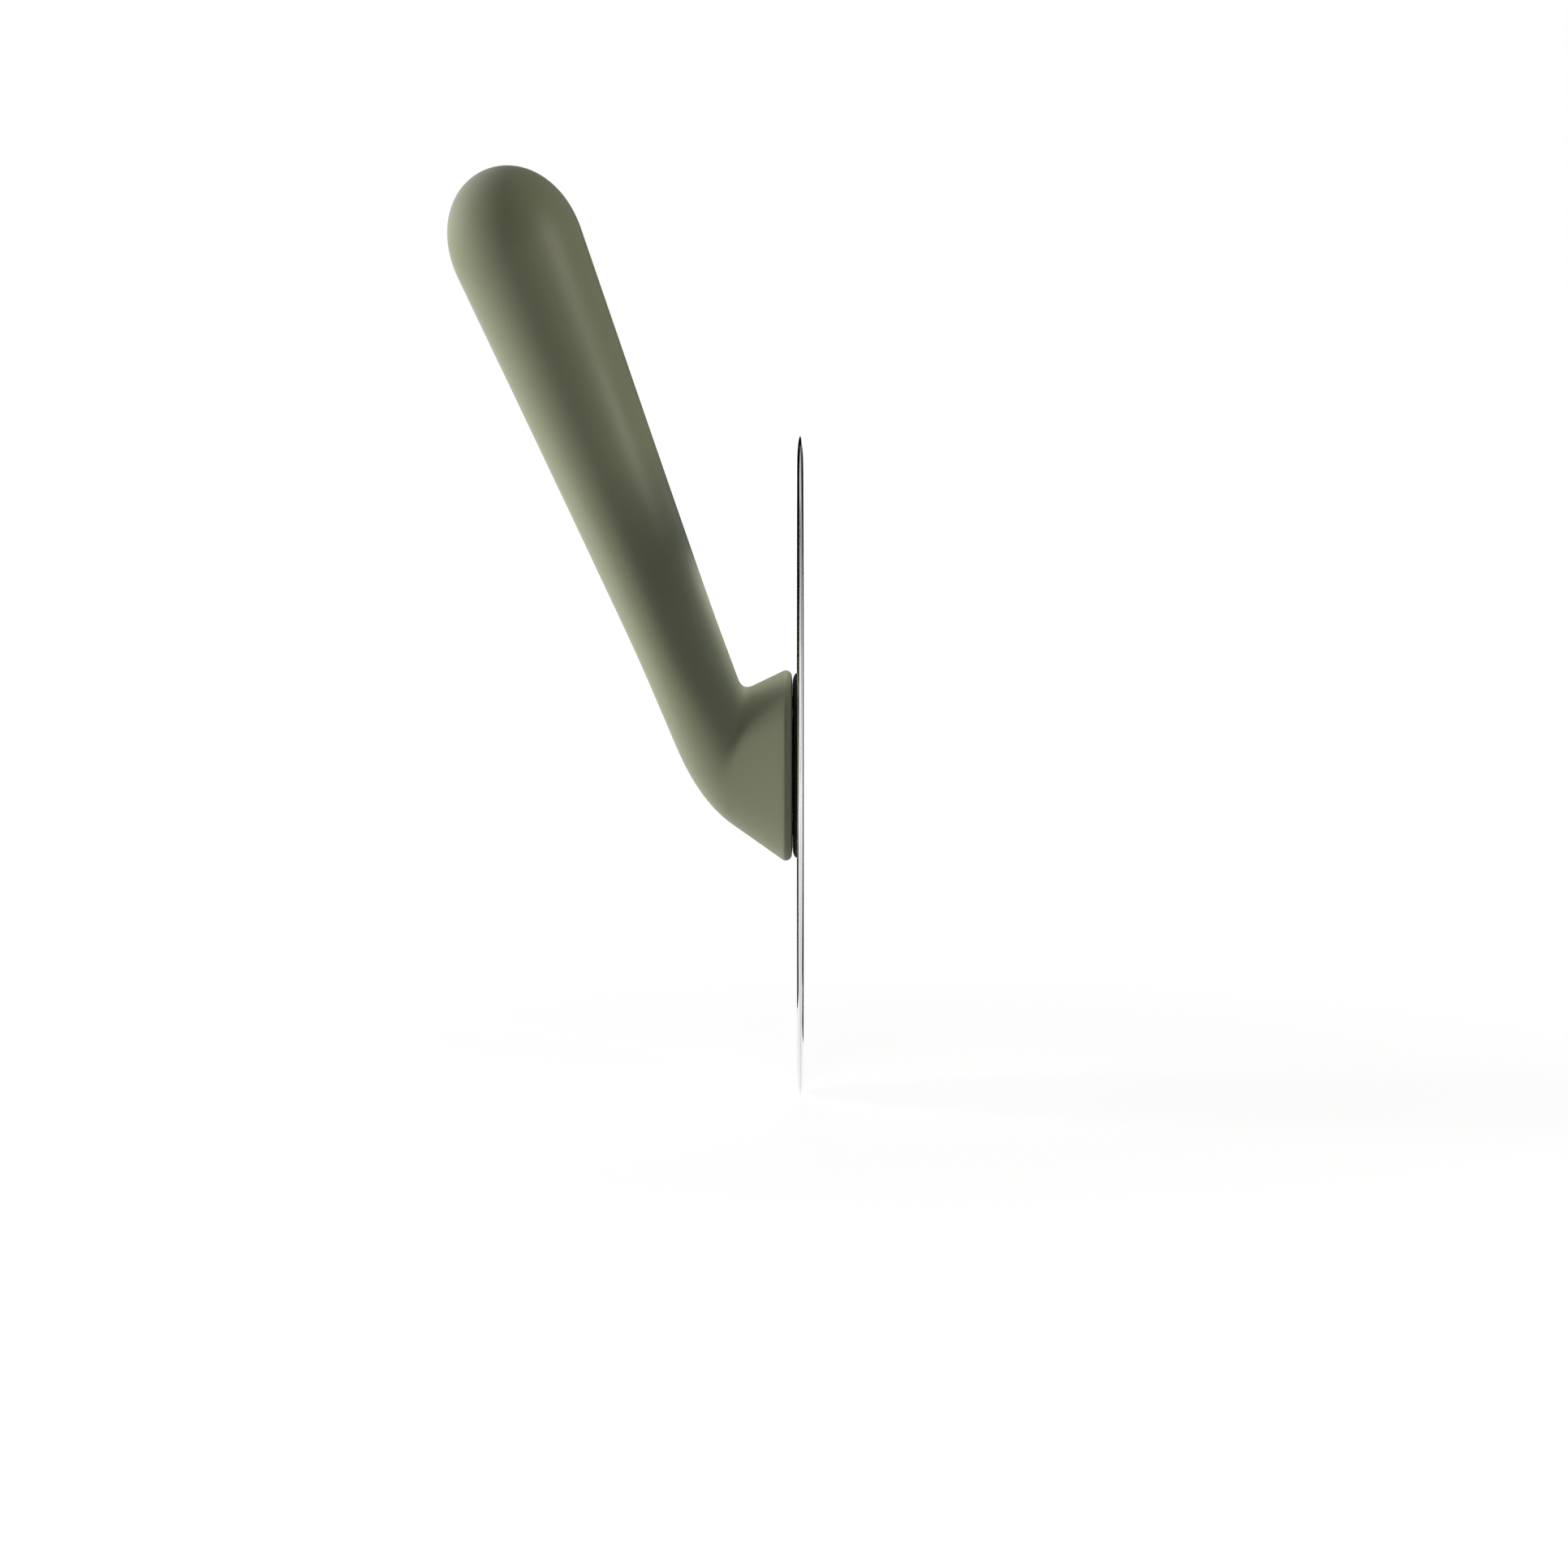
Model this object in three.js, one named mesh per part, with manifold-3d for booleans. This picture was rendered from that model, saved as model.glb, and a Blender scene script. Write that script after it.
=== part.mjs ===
// Pizza wheel: a steel disc that turns on a stud at the foot of an angled, moulded handle.
// Millimetres, Z up. The axle lies along X and x = 0 is the blade's outer face.
// A "depth" is a distance behind that face, towards the handle.
import * as THREE from 'three';
import { mergeVertices } from 'three/addons/utils/BufferGeometryUtils.js';
import Module from 'manifold-3d';

const wasm = await Module();
wasm.setup();

// Clearances
const SEAT_GAP = 0.3;
const RUNNING_GAP = 0.1;
const FACE_GAP = 0.15;
const PLATE_GAP = 0.05;
const CUT_MARGIN = 2;

// Blade
const BLADE_RADIUS = 70;
const BLADE_THICKNESS = 1.3;
const GRIND_WIDTH = 6.2;
const EDGE_THICKNESS = 0.2;

// Hub: boss through the blade, flange behind it, spigot into the handle
const BOSS_RADIUS = 6.7;
const FLANGE_RADIUS = 11.6;
const FLANGE_THICKNESS = 0.8;
const SPIGOT_RADIUS = 6.7;
const MOUTH_RADIUS = 5.6;

// Cap that closes the hub's mouth
const CAP_THICKNESS = 1;
const CAP_SKIRT_DEPTH = 2;
const CAP_SKIRT_WALL = 0.5;

// Rivets through blade and flange
const RIVET_COUNT = 4;
const RIVET_CIRCLE_RADIUS = 9.4;
const RIVET_SHANK_RADIUS = 0.8;
const RIVET_HEAD_RADIUS = 1.5;
const RIVET_HEAD_DEPTH = 0.8;
const RIVET_TAIL_RADIUS = 1.3;
const RIVET_TAIL_DEPTH = 0.4;

// Stud and what runs on it
const STUD_RADIUS = 3;
const STUD_LIP = 0.8;
const STUD_GROOVE_RADIUS = 2.35;
const STUD_SHOULDER_RADIUS = 4;
const STUD_SHOULDER_LENGTH = 1.6;
const STUD_HEAD_RADIUS = 5.2;
const STUD_HEAD_LENGTH = 2.4;
const STUD_TAIL_RADIUS = 3.6;
const STUD_TAIL_LENGTH = 2.2;
const RING_RADIUS = 5;
const RING_THICKNESS = 0.8;
const RING_PLAY = 0.2;
const RING_MOUTH_ANGLE = THREE.MathUtils.degToRad(60);
const WASHER_THICKNESS = 0.6;
const INNER_WASHER_RADIUS = 6.3;
const BUSH_WALL = 1.4;
const BUSH_LENGTH = 4.4;

// Handle shaft: stations are measured up its axis from where that axis crosses the axle line
const SHAFT_TILT = THREE.MathUtils.degToRad(22.1);
const SHAFT_CROSSING_DEPTH = 15.85;
const NECK_STATION = 25;
const NECK_RADIUS = 9.1;
const WAIST_STATION = 37;
const WAIST_RADIUS = 9.4;
const SHOULDER_STATION = 117.5;
const SHOULDER_RADIUS = 14.05;
const DOME_LENGTH = 19.1;

// Elbow: the corners where the straight lines of shaft and foot would meet, and how they round off
const INNER_CORNER_DEPTH = 12.9;
const INNER_CORNER_HEIGHT = 16;
const HEEL_CORNER_DEPTH = 22.1;
const HEEL_CORNER_HEIGHT = -7.6;
const ELBOW_HALF_WIDTH = 9.3;
const ELBOW_BOW = 2.6;
const INNER_BEND_RADIUS = 2.4;
const HEEL_SHAFT_BEND_RADIUS = 44;
const HEEL_FOOT_BEND_RADIUS = 30;

// Foot: an oval that stands upright on the blade
const FOOT_HALF_HEIGHT = 20.3;
const FOOT_HALF_WIDTH = 14.6;
const FOOT_RIM_ROUND = 1.3;
const FOOT_FLARE_ANGLE = THREE.MathUtils.degToRad(31);
const FOOT_FACE_CHAMFER = 3;
const FOOT_FACE_DROP = 0.15;

// Plate that closes the foot, with two pegs that hold it in the core
const PLATE_SETBACK = 0.6;
const PLATE_EDGE_ROUND = 1.9;
const PLATE_THICKNESS = 0.75;
const PEG_RADIUS = 1.3;
const PEG_LENGTH = 3;
const PEG_INSET = 2.4;

// Skin of the handle and the core inside it
const SKIN_WALL = 2.4;
const ELBOW_SKIN_FACTOR = 1.26;
const CORE_END_SETBACK = 4.4;
const CORE_END_LENGTH = 3.6;
const POCKET_GAP = 0.4;

// Facets round each piece
const BLADE_FACETS = 80;
const HUB_FACETS = 48;
const SMALL_FACETS = 32;
const RIVET_FACETS = 16;
const HANDLE_FACETS = 36;

// Depths along the axle, each from the one before it
const FLANGE_BACK = BLADE_THICKNESS + FLANGE_THICKNESS;
const PLATE_FRONT = BLADE_THICKNESS + FACE_GAP;
const PLATE_BACK = PLATE_FRONT + PLATE_THICKNESS;
const PEG_END = PLATE_BACK + PEG_LENGTH;
const FOOT_FACE = PLATE_BACK + PLATE_GAP;
const STUD_END = CAP_THICKNESS + SEAT_GAP;
const GROOVE_START = STUD_END + STUD_LIP;
const RING_START = GROOVE_START + RING_PLAY;
const RING_END = RING_START + RING_THICKNESS;
const GROOVE_END = RING_END + RING_PLAY;
const OUTER_WASHER_START = RING_END + SEAT_GAP;
const OUTER_WASHER_END = OUTER_WASHER_START + WASHER_THICKNESS;
const MOUTH_FLOOR = OUTER_WASHER_END + SEAT_GAP;
const SPIGOT_END = MOUTH_FLOOR + BUSH_LENGTH;
const INNER_WASHER_START = SPIGOT_END + SEAT_GAP;
const INNER_WASHER_END = INNER_WASHER_START + WASHER_THICKNESS;
const POCKET_FLOOR = INNER_WASHER_END + SEAT_GAP;
const SHOULDER_END = POCKET_FLOOR + STUD_SHOULDER_LENGTH;
const HEAD_END = SHOULDER_END + STUD_HEAD_LENGTH;
const TAIL_END = HEAD_END + STUD_TAIL_LENGTH;

// Half heights of the foot's ovals
const FOOT_NARROWING = FOOT_HALF_HEIGHT - FOOT_HALF_WIDTH;
const FOOT_LAND_HALF_HEIGHT = FOOT_HALF_HEIGHT - FOOT_FACE_CHAMFER;
const CORE_END_HALF_HEIGHT = FOOT_HALF_HEIGHT - CORE_END_SETBACK;
const PLATE_HALF_HEIGHT = FOOT_HALF_HEIGHT - PLATE_SETBACK;
const PEG_OFFSET = CORE_END_HALF_HEIGHT - PEG_INSET;

// Radii of the fits
const BLADE_BORE_RADIUS = BOSS_RADIUS + SEAT_GAP;
const CAP_RADIUS = MOUTH_RADIUS - SEAT_GAP;
const BUSH_BORE_RADIUS = STUD_RADIUS + RUNNING_GAP;
const BUSH_RADIUS = BUSH_BORE_RADIUS + BUSH_WALL;
const HUB_BORE_RADIUS = BUSH_RADIUS + SEAT_GAP;
const WASHER_BORE_RADIUS = STUD_RADIUS + SEAT_GAP;
const OUTER_WASHER_RADIUS = MOUTH_RADIUS - SEAT_GAP;
const RING_BORE_RADIUS = STUD_GROOVE_RADIUS + SEAT_GAP;
const POCKET_RADIUS = SPIGOT_RADIUS + POCKET_GAP;
const WINDOW_RADIUS = FLANGE_RADIUS + POCKET_GAP;

// Turns a geometry into a closed body whose faces look outwards
function bodyOf(geometry) {
  const bare = geometry.clone();
  bare.deleteAttribute('normal');
  bare.deleteAttribute('uv');
  const welded = mergeVertices(bare, 1e-5);
  const points = welded.attributes.position;
  const corners = [];
  let volume = 0;
  for (let i = 0; i < welded.index.count; i += 3) {
    const [a, b, c] = [0, 1, 2].map((k) => welded.index.getX(i + k));
    if (a === b || b === c || c === a) continue;
    corners.push(a, b, c);
    const [p, q, r] = [a, b, c].map((k) => new THREE.Vector3().fromBufferAttribute(points, k));
    volume += p.dot(q.cross(r));
  }
  if (volume < 0) corners.reverse();
  const mesh = new wasm.Mesh({
    numProp: 3,
    vertProperties: new Float32Array(points.array),
    triVerts: new Uint32Array(corners),
  });
  return new wasm.Manifold(mesh);
}

// Turns a profile of [depth, radius] pairs about the axle; an open profile runs from axis to axis
function turned(profile, facets) {
  const line = profile.map(([depth, radius]) => new THREE.Vector2(radius, -depth));
  return new THREE.LatheGeometry(line, facets).rotateZ(-Math.PI / 2);
}

// A plain tube between two radii and two depths
function turnedTube(bore, radius, start, end, facets) {
  return turned([[start, bore], [start, radius], [end, radius], [end, bore], [start, bore]], facets);
}

// Blade: flat disc, both faces falling to the edge along a quarter of an ellipse
function bladeGeometry() {
  const half = BLADE_THICKNESS / 2;
  const last = Math.acos(EDGE_THICKNESS / BLADE_THICKNESS);
  const steps = 6;
  const outer = [];
  const inner = [];
  for (let i = 0; i <= steps; i += 1) {
    const angle = (last * i) / steps;
    const radius = BLADE_RADIUS - GRIND_WIDTH * (1 - Math.sin(angle) / Math.sin(last));
    outer.push([half - half * Math.cos(angle), radius]);
    inner.unshift([half + half * Math.cos(angle), radius]);
  }
  const bore = [[BLADE_THICKNESS, BLADE_BORE_RADIUS], [0, BLADE_BORE_RADIUS]];
  return turned([bore[1], ...outer, ...inner, ...bore], BLADE_FACETS);
}

// Hub: one turned moulding
function hubGeometry() {
  return turned([
    [MOUTH_FLOOR, HUB_BORE_RADIUS],
    [MOUTH_FLOOR, MOUTH_RADIUS],
    [0, MOUTH_RADIUS],
    [0, BOSS_RADIUS],
    [BLADE_THICKNESS, BOSS_RADIUS],
    [BLADE_THICKNESS, FLANGE_RADIUS],
    [FLANGE_BACK, FLANGE_RADIUS],
    [FLANGE_BACK, SPIGOT_RADIUS],
    [SPIGOT_END, SPIGOT_RADIUS],
    [SPIGOT_END, HUB_BORE_RADIUS],
    [MOUTH_FLOOR, HUB_BORE_RADIUS],
  ], HUB_FACETS);
}

// Cap: flat disc with a short skirt that snaps into the hub's mouth
function capGeometry() {
  const skirtBore = CAP_RADIUS - CAP_SKIRT_WALL;
  return turned([
    [0, 0],
    [0, CAP_RADIUS],
    [CAP_SKIRT_DEPTH, CAP_RADIUS],
    [CAP_SKIRT_DEPTH, skirtBore],
    [CAP_THICKNESS, skirtBore],
    [CAP_THICKNESS, 0],
  ], SMALL_FACETS);
}

// Rivet, or with a gap and overshoot the hole it fills: countersunk at both faces
function rivetGeometry(index, gap, overshoot) {
  const shank = RIVET_SHANK_RADIUS + gap;
  const head = RIVET_HEAD_RADIUS + gap;
  const tail = RIVET_TAIL_RADIUS + gap;
  const ends = overshoot > 0;
  const geometry = turned([
    [-overshoot, 0],
    ...(ends ? [[-overshoot, head]] : []),
    [0, head],
    [RIVET_HEAD_DEPTH, shank],
    [FLANGE_BACK - RIVET_TAIL_DEPTH, shank],
    [FLANGE_BACK, tail],
    ...(ends ? [[FLANGE_BACK + overshoot, tail]] : []),
    [FLANGE_BACK + overshoot, 0],
  ], RIVET_FACETS);
  const angle = (2 * Math.PI * (index + 0.5)) / RIVET_COUNT;
  const across = RIVET_CIRCLE_RADIUS * Math.cos(angle);
  const up = RIVET_CIRCLE_RADIUS * Math.sin(angle);
  return geometry.translate(0, across, up);
}

// Stud: journal with a ring groove at its end; shoulder, head and tail sit in the core
function studGeometry() {
  return turned([
    [STUD_END, 0],
    [STUD_END, STUD_RADIUS],
    [GROOVE_START, STUD_RADIUS],
    [GROOVE_START, STUD_GROOVE_RADIUS],
    [GROOVE_END, STUD_GROOVE_RADIUS],
    [GROOVE_END, STUD_RADIUS],
    [POCKET_FLOOR, STUD_RADIUS],
    [POCKET_FLOOR, STUD_SHOULDER_RADIUS],
    [SHOULDER_END, STUD_SHOULDER_RADIUS],
    [SHOULDER_END, STUD_HEAD_RADIUS],
    [HEAD_END, STUD_HEAD_RADIUS],
    [HEAD_END, STUD_TAIL_RADIUS],
    [TAIL_END, STUD_TAIL_RADIUS],
    [TAIL_END, 0],
  ], SMALL_FACETS);
}

// Hollow in the core: pocket for the hub's spigot, then the stud's seat
function coreHollowGeometry() {
  return turned([
    [FOOT_FACE - CUT_MARGIN, 0],
    [FOOT_FACE - CUT_MARGIN, POCKET_RADIUS],
    [POCKET_FLOOR, POCKET_RADIUS],
    [POCKET_FLOOR, STUD_SHOULDER_RADIUS + SEAT_GAP],
    [SHOULDER_END - SEAT_GAP, STUD_SHOULDER_RADIUS + SEAT_GAP],
    [SHOULDER_END - SEAT_GAP, STUD_HEAD_RADIUS + SEAT_GAP],
    [HEAD_END + SEAT_GAP, STUD_HEAD_RADIUS + SEAT_GAP],
    [HEAD_END + SEAT_GAP, STUD_TAIL_RADIUS + SEAT_GAP],
    [TAIL_END + SEAT_GAP, STUD_TAIL_RADIUS + SEAT_GAP],
    [TAIL_END + SEAT_GAP, 0],
  ], SMALL_FACETS);
}

// Retaining ring: flat spring ring with an open mouth
function ringGeometry() {
  const from = Math.PI / 2 + RING_MOUTH_ANGLE / 2;
  const to = Math.PI / 2 - RING_MOUTH_ANGLE / 2 + 2 * Math.PI;
  const outline = new THREE.Shape();
  outline.absarc(0, 0, RING_RADIUS, from, to, false);
  outline.absarc(0, 0, RING_BORE_RADIUS, to, from, true);
  outline.closePath();
  const flat = { depth: RING_THICKNESS, bevelEnabled: false, curveSegments: 24 };
  return new THREE.ExtrudeGeometry(outline, flat).rotateY(Math.PI / 2).translate(-RING_END, 0, 0);
}

// Directions of the handle
const UP = new THREE.Vector3(0, 0, 1);
const NEAR_SIDE = new THREE.Vector3(0, -1, 0);
const ALONG_SHAFT = new THREE.Vector3(-Math.sin(SHAFT_TILT), 0, Math.cos(SHAFT_TILT));
const ACROSS_SHAFT = new THREE.Vector3(Math.cos(SHAFT_TILT), 0, Math.sin(SHAFT_TILT));
const CROSSING = new THREE.Vector3(-SHAFT_CROSSING_DEPTH, 0, 0);

// Angles round the handle, from its inner side over the near side to its heel side and back
const TURN = Array.from({ length: HANDLE_FACETS }, (_, i) => (2 * Math.PI * i) / HANDLE_FACETS);

// One closed loop of points: an ellipse in the plane of the given direction and the near side
function loop(centre, direction, half, halfWidth) {
  return TURN.map((angle) => centre.clone()
    .addScaledVector(direction, half * Math.cos(angle))
    .addScaledVector(NEAR_SIDE, halfWidth * Math.sin(angle)));
}

function shaftLoop(station, radius) {
  return loop(CROSSING.clone().addScaledVector(ALONG_SHAFT, station), ACROSS_SHAFT, radius, radius);
}

// The foot's ovals are narrower than high by the same measure everywhere
function footLoop(depth, halfHeight) {
  return loop(new THREE.Vector3(-depth, 0, 0), UP, halfHeight, halfHeight - FOOT_NARROWING);
}

// Loop through both elbow corners, where shaft and foot would meet sharply; its sides bow out to the blade
function elbowLoop(inset) {
  const inner = new THREE.Vector3(-INNER_CORNER_DEPTH, 0, INNER_CORNER_HEIGHT);
  const heel = new THREE.Vector3(-HEEL_CORNER_DEPTH, 0, HEEL_CORNER_HEIGHT);
  const centre = inner.clone().add(heel).multiplyScalar(0.5);
  const half = inner.distanceTo(heel) / 2 - ELBOW_SKIN_FACTOR * inset;
  const flat = loop(centre, inner.sub(heel).normalize(), half, ELBOW_HALF_WIDTH - inset);
  return flat.map((point, i) => point.setX(point.x + ELBOW_BOW * Math.sin(TURN[i]) ** 2));
}

// Shaft from the tip down to the neck: domed end, then a taper that eases into the waist
function shaftLoops(inset) {
  const domeSteps = 6;
  const taperSteps = 6;
  const slope = (SHOULDER_RADIUS - WAIST_RADIUS) / (SHOULDER_STATION - WAIST_STATION);
  const domeLength = DOME_LENGTH - inset;
  const loops = [];
  for (let i = 1; i < domeSteps; i += 1) {
    const angle = (Math.PI / 2) * (1 - i / domeSteps);
    const rise = domeLength * Math.sin(angle);
    const radius = (SHOULDER_RADIUS + slope * rise - inset) * Math.cos(angle);
    loops.push(shaftLoop(SHOULDER_STATION + rise, radius));
  }
  const taper = new THREE.QuadraticBezierCurve(
    new THREE.Vector2(SHOULDER_STATION, SHOULDER_RADIUS),
    new THREE.Vector2(WAIST_STATION, WAIST_RADIUS),
    new THREE.Vector2(NECK_STATION, NECK_RADIUS),
  );
  for (const point of taper.getPoints(taperSteps)) {
    loops.push(shaftLoop(point.x, point.y - inset));
  }
  return loops;
}

// Elbow: every line down the shaft turns out to the foot in a bend of its own,
// tight at the inner corner and wide at the heel
function elbowLoops(neck, corner, foot) {
  const steps = 7;
  const { lerp } = THREE.MathUtils;
  const bends = TURN.map((angle, i) => {
    const heelShare = ((1 - Math.cos(angle)) / 2) ** 5;
    const down = corner[i].clone().sub(neck[i]).normalize();
    const out = foot[i].clone().sub(corner[i]).normalize();
    const spread = Math.tan(down.angleTo(out) / 2);
    const shaftRun = spread * lerp(INNER_BEND_RADIUS, HEEL_SHAFT_BEND_RADIUS, heelShare);
    const footRun = spread * lerp(INNER_BEND_RADIUS, HEEL_FOOT_BEND_RADIUS, heelShare);
    const start = corner[i].clone().addScaledVector(down, -shaftRun);
    const end = corner[i].clone().addScaledVector(out, footRun);
    return new THREE.QuadraticBezierCurve3(start, corner[i], end);
  });
  return Array.from({ length: steps + 1 }, (_, k) => bends.map((bend) => bend.getPoint(k / steps)));
}

// Rim of the foot: the flare rolls over into the face, which falls away a little outside its land
function rimLoops() {
  const steps = 6;
  const middleDepth = FOOT_FACE + FOOT_FACE_DROP + FOOT_RIM_ROUND;
  const middleHalfHeight = FOOT_HALF_HEIGHT - FOOT_RIM_ROUND;
  const loops = [];
  for (let i = 0; i <= steps; i += 1) {
    const angle = -FOOT_FLARE_ANGLE + (Math.PI / 2 + FOOT_FLARE_ANGLE) * (i / steps);
    const depth = middleDepth - FOOT_RIM_ROUND * Math.sin(angle);
    loops.push(footLoop(depth, middleHalfHeight + FOOT_RIM_ROUND * Math.cos(angle)));
  }
  loops.push(footLoop(FOOT_FACE, FOOT_LAND_HALF_HEIGHT));
  return loops;
}

// Skins a row of loops and closes both ends on a point
function loft(firstTip, loops, lastTip) {
  const count = HANDLE_FACETS;
  const points = [firstTip, ...loops.flat(), lastTip];
  const end = points.length - 1;
  const at = (row, i) => 1 + row * count + (i % count);
  const corners = [];
  for (let i = 0; i < count; i += 1) {
    corners.push(0, at(0, i), at(0, i + 1));
    corners.push(end, at(loops.length - 1, i + 1), at(loops.length - 1, i));
    for (let row = 0; row + 1 < loops.length; row += 1) {
      corners.push(at(row, i), at(row + 1, i), at(row + 1, i + 1));
      corners.push(at(row, i), at(row + 1, i + 1), at(row, i + 1));
    }
  }
  return new THREE.BufferGeometry().setFromPoints(points).setIndex(corners);
}

function shaftTip(inset) {
  return CROSSING.clone().addScaledVector(ALONG_SHAFT, SHOULDER_STATION + DOME_LENGTH - inset);
}

// Foot plate without its window and pegs: the foot's oval, its edge rounding off towards the foot
function plateGeometry() {
  const steps = 6;
  const loops = [];
  for (let i = 0; i <= steps; i += 1) {
    const angle = (Math.PI / 2) * (i / steps);
    const halfHeight = PLATE_HALF_HEIGHT - PLATE_EDGE_ROUND * (1 - Math.cos(angle));
    loops.push(footLoop(PLATE_FRONT + PLATE_THICKNESS * Math.sin(angle), halfHeight));
  }
  return loft(new THREE.Vector3(-PLATE_FRONT, 0, 0), loops, new THREE.Vector3(-PLATE_BACK, 0, 0));
}

// Peg of the plate, or with a gap the hole it fills, above or below the axle; it starts just inside the plate
function pegGeometry(side, gap) {
  const start = PLATE_BACK - PLATE_GAP;
  const end = PEG_END + gap;
  const radius = PEG_RADIUS + gap;
  const peg = turned([[start, 0], [start, radius], [end, radius], [end, 0]], RIVET_FACETS);
  return peg.translate(0, 0, side * PEG_OFFSET);
}

// Outer form of the handle
function handleGeometry() {
  const shaft = shaftLoops(0);
  const rim = rimLoops();
  const elbow = elbowLoops(shaft.at(-1), elbowLoop(0), rim[0]);
  return loft(shaftTip(0), [...shaft, ...elbow, ...rim], new THREE.Vector3(-FOOT_FACE, 0, 0));
}

// The same form drawn in by a wall, ending in a plain oval at the foot: the core or its hollow
function innerFormGeometry(inset, endHalfHeight, endDepth) {
  const shaft = shaftLoops(inset);
  const root = footLoop(FOOT_FACE + CORE_END_LENGTH, endHalfHeight);
  const elbow = elbowLoops(shaft.at(-1), elbowLoop(inset), root);
  const loops = [...shaft, ...elbow, root, footLoop(endDepth, endHalfHeight)];
  return loft(shaftTip(inset), loops, new THREE.Vector3(-endDepth, 0, 0));
}

// Bodies with what is cut out of them
const rivetNumbers = Array.from({ length: RIVET_COUNT }, (_, i) => i);
const rivetHoles = rivetNumbers.map((i) => bodyOf(rivetGeometry(i, SEAT_GAP, CUT_MARGIN)));
const drilled = (body) => rivetHoles.reduce((rest, hole) => rest.subtract(hole), body);
const coreHollow = bodyOf(coreHollowGeometry());
const pegSides = [1, -1];
const pegs = pegSides.map((side) => bodyOf(pegGeometry(side, 0)));
const pegHoles = pegSides.map((side) => bodyOf(pegGeometry(side, SEAT_GAP)));
const plateWindow = bodyOf(turned([
  [PLATE_FRONT - CUT_MARGIN, 0],
  [PLATE_FRONT - CUT_MARGIN, WINDOW_RADIUS],
  [PLATE_BACK + CUT_MARGIN, WINDOW_RADIUS],
  [PLATE_BACK + CUT_MARGIN, 0],
], HUB_FACETS));
const plateForm = bodyOf(plateGeometry()).subtract(plateWindow);
const hollowEnd = CORE_END_HALF_HEIGHT + SEAT_GAP;
const skinHollow = bodyOf(innerFormGeometry(SKIN_WALL, hollowEnd, FOOT_FACE - CUT_MARGIN));
const coreForm = bodyOf(innerFormGeometry(SKIN_WALL + SEAT_GAP, CORE_END_HALF_HEIGHT, FOOT_FACE));

const part = new THREE.Group();
part.name = 'pizza_wheel';

// Adds one named piece with its own material
function addPiece(name, body, color, roughness, metalness) {
  const { vertProperties, triVerts } = body.getMesh();
  const geometry = new THREE.BufferGeometry();
  geometry.setAttribute('position', new THREE.BufferAttribute(vertProperties, 3));
  geometry.setIndex(new THREE.BufferAttribute(triVerts, 1));
  geometry.computeVertexNormals();
  const piece = new THREE.Mesh(geometry, new THREE.MeshStandardMaterial({ color, roughness, metalness }));
  piece.name = name;
  part.add(piece);
}

// Handle and the pieces fixed in it
addPiece('handle_grip', bodyOf(handleGeometry()).subtract(skinHollow), 0x85896e, 0.75, 0);
addPiece('handle_core', wasm.Manifold.difference([coreForm, coreHollow, ...pegHoles]), 0x3a3b37, 0.6, 0);
addPiece('foot_plate', wasm.Manifold.union([plateForm, ...pegs]), 0x141414, 0.6, 0);
addPiece('axle_stud', bodyOf(studGeometry()), 0xb4b6b8, 0.3, 1);
addPiece('inner_thrust_washer', bodyOf(
  turnedTube(WASHER_BORE_RADIUS, INNER_WASHER_RADIUS, INNER_WASHER_START, INNER_WASHER_END, SMALL_FACETS),
), 0xe8e6de, 0.5, 0);
addPiece('outer_thrust_washer', bodyOf(
  turnedTube(WASHER_BORE_RADIUS, OUTER_WASHER_RADIUS, OUTER_WASHER_START, OUTER_WASHER_END, SMALL_FACETS),
), 0xe8e6de, 0.5, 0);
addPiece('retaining_ring', bodyOf(ringGeometry()), 0x6f7276, 0.35, 1);

// Wheel that turns on the stud
addPiece('blade', drilled(bodyOf(bladeGeometry())), 0xc3c6c9, 0.25, 1);
addPiece('hub', drilled(bodyOf(hubGeometry())), 0x151515, 0.45, 0);
addPiece('bearing_bush', bodyOf(
  turnedTube(BUSH_BORE_RADIUS, BUSH_RADIUS, MOUTH_FLOOR, SPIGOT_END, SMALL_FACETS),
), 0xa97c3f, 0.4, 1);
addPiece('hub_cap', bodyOf(capGeometry()), 0x191919, 0.45, 0);
for (const i of rivetNumbers) {
  addPiece(`rivet_${i + 1}`, bodyOf(rivetGeometry(i, 0, 0)), 0xb9bcbf, 0.3, 1);
}

export default part;
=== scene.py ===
"""A pizza wheel: a steel disc that turns at the oval foot of an angled, sage-green handle.

Metres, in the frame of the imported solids: the axle lies along X, the blade's outer face is x = 0 and Z is
up. The pieces' own sizes are in millimetres, the studio's in metres. A depth is a distance behind the
blade's outer face, towards the handle.
"""
import math

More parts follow.
